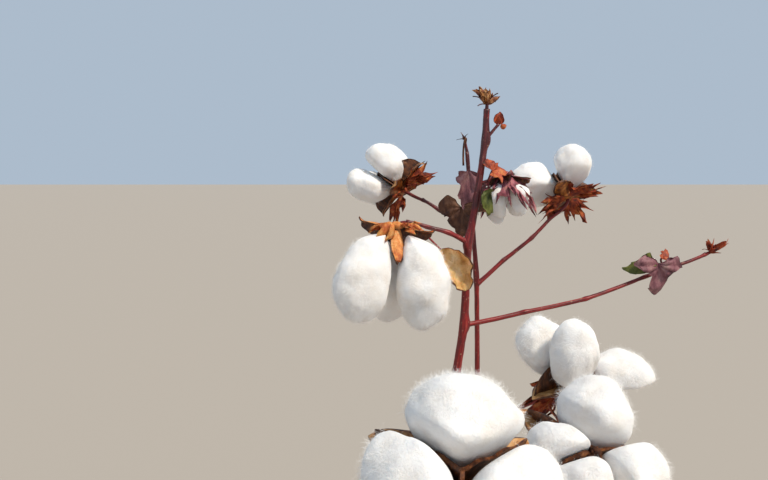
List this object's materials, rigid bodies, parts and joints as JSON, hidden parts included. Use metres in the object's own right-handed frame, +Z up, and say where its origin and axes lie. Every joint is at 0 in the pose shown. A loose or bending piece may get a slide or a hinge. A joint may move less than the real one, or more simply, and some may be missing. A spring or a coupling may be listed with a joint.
{
  "type": "cotton plant",
  "caption": "Cotton plant at harvest time with slim reddish stems, open bolls of white cotton in dry brown burs, a few withered leaves and dried buds.",
  "frame": {"origin": "centre of the flat cut where the main stem meets the ground", "axes": "+Z up the main stem; -Y towards the side that the picture was taken from; +X to that viewer's right"},
  "size_m": [0.4569, 0.4945, 0.8949],
  "materials": {
    "bark": "satin, deep red brown, paler at the scars",
    "bur": "matt, dry and papery",
    "buds": "matt, dry",
    "dry_leaf": "matt, withered",
    "cotton": "matt white fibre"
  },
  "bodies": {
    "root": {"main_stem": "bark", "rear_stem": "bark", "front_stem": "bark", "left_stem": "bark", "branch_01": "bark", "branch_02": "bark", "branch_03": "bark", "branch_06": "bark", "branch_07": "bark", "branch_08": "bark", "branch_09": "bark", "branch_10": "bark", "branch_11": "bark", "branch_12": "bark", "branch_13": "bark", "branch_15": "bark", "branch_16": "bark", "branch_17": "bark", "branch_18": "bark", "bur_01": "bur", "bur_02": "bur", "bur_03": "bur", "bur_04": "bur", "bur_05": "bur", "bur_06": "bur", "bur_07": "bur", "bur_08": "bur", "bur_09": "bur", "bur_10": "bur", "bur_11": "bur", "bur_12": "bur", "bur_13": "bur", "bur_14": "bur", "bur_15": "bur", "bur_16": "bur", "bur_17": "bur", "top_buds": "buds", "side_buds": "buds", "rear_buds": "buds", "right_buds": "buds", "left_leaves": "dry_leaf", "right_leaves": "dry_leaf", "branch_leaf": "dry_leaf", "boll_01": "cotton", "boll_02": "cotton", "boll_03": "cotton", "boll_04": "cotton", "boll_05": "cotton", "boll_06": "cotton", "boll_07": "cotton", "boll_08": "cotton", "boll_09": "cotton", "boll_10": "cotton", "boll_11": "cotton", "boll_12": "cotton", "boll_13": "cotton", "boll_14": "cotton", "boll_15": "cotton", "boll_16": "cotton", "boll_17": "cotton"}
  },
  "joints": []
}
